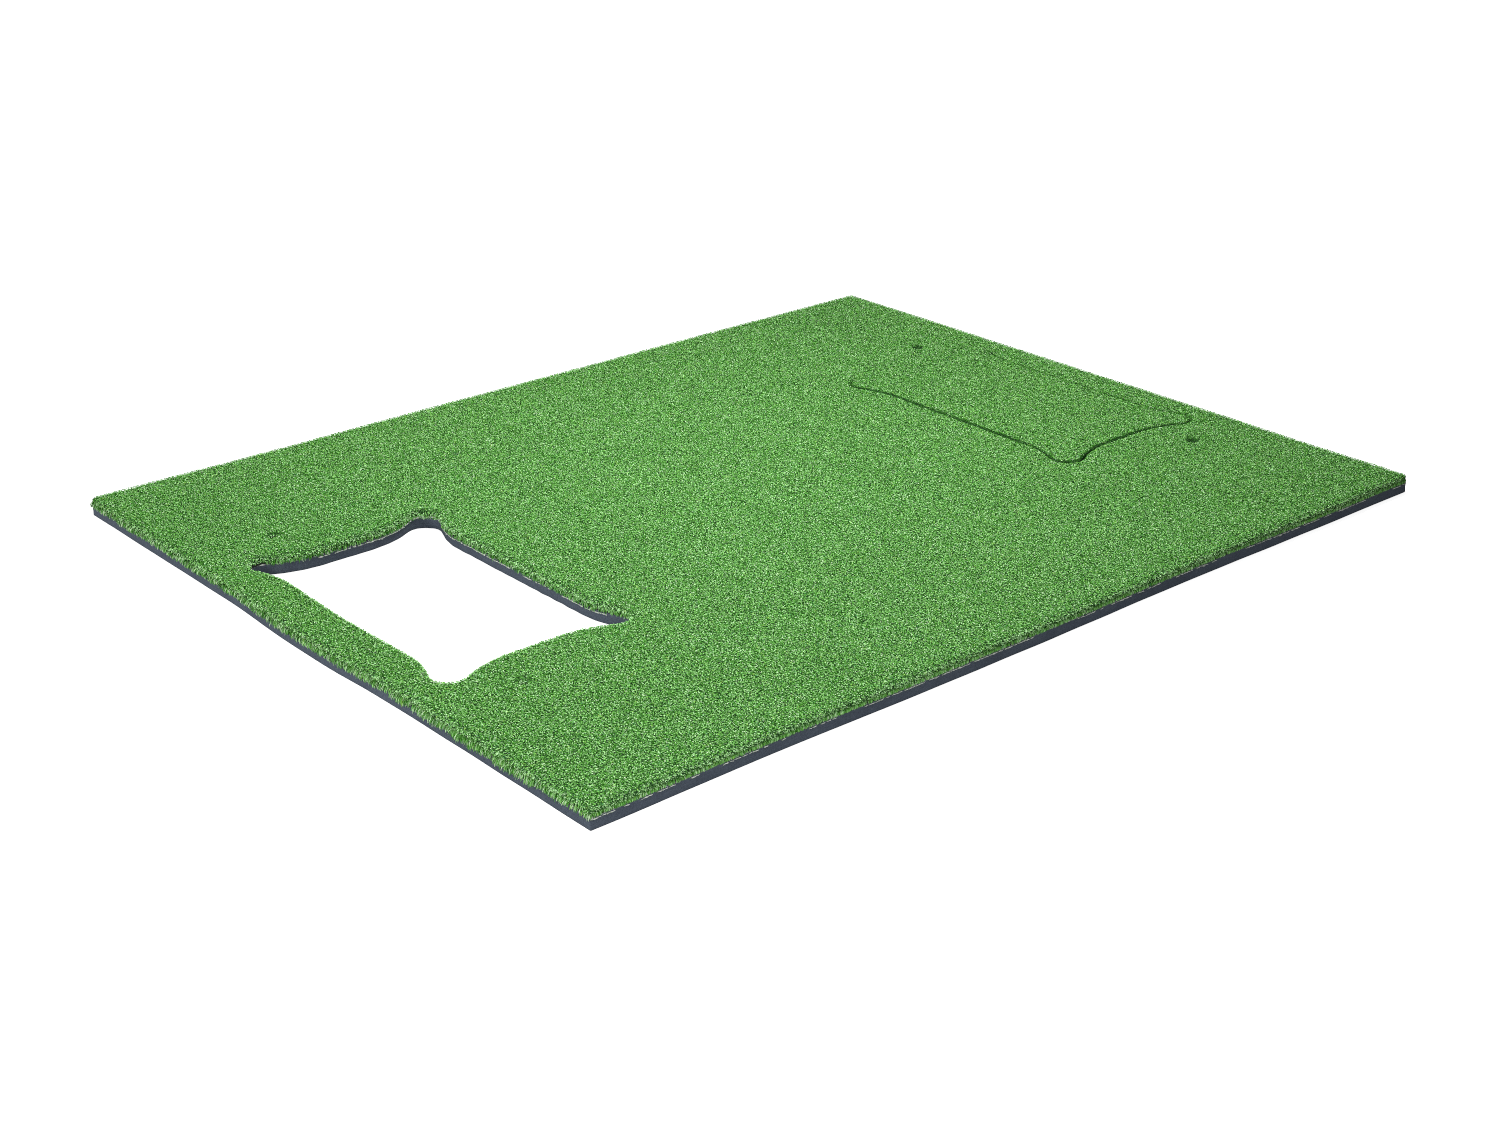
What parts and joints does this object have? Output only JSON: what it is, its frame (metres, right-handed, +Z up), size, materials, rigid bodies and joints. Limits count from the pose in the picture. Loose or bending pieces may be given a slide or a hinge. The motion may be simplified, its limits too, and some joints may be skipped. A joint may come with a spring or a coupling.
{
  "type": "golf hitting mat",
  "caption": "Rectangular artificial-turf golf hitting mat on a foam pad, with an open eared cut-out, a lift-out insert filling the matching cut-out, and small tee holes.",
  "frame": {"origin": "centre of the underside, on the floor plane", "axes": "+Z up through the mat, +X along the long side towards the end with the insert, +Y along the short side"},
  "size_m": [1.524, 1.2192, 0.0305],
  "materials": {
    "eva_foam": "matt closed-cell foam, slate grey, fine speckle on cut edges",
    "adhesive": "cured off-white adhesive film",
    "latex": "matt black filled latex coat",
    "woven_backing": "plain-woven polypropylene tape, dark",
    "turf_yarn": "dense short curled nylon yarn, mixed greens, slight sheen"
  },
  "bodies": {
    "mat": {"mat_foam_pad": "eva_foam", "mat_adhesive_film": "adhesive", "mat_latex_backing": "latex", "mat_woven_backing": "woven_backing", "mat_turf_pile": "turf_yarn"},
    "insert": {"insert_foam_pad": "eva_foam", "insert_adhesive_film": "adhesive", "insert_latex_backing": "latex", "insert_woven_backing": "woven_backing", "insert_turf_pile": "turf_yarn"}
  },
  "joints": [
    {"name": "insert_lift", "type": "slide", "parent": "mat", "child": "insert", "axis": [0, 0, 1], "range_m": [0, 0.15]}
  ]
}
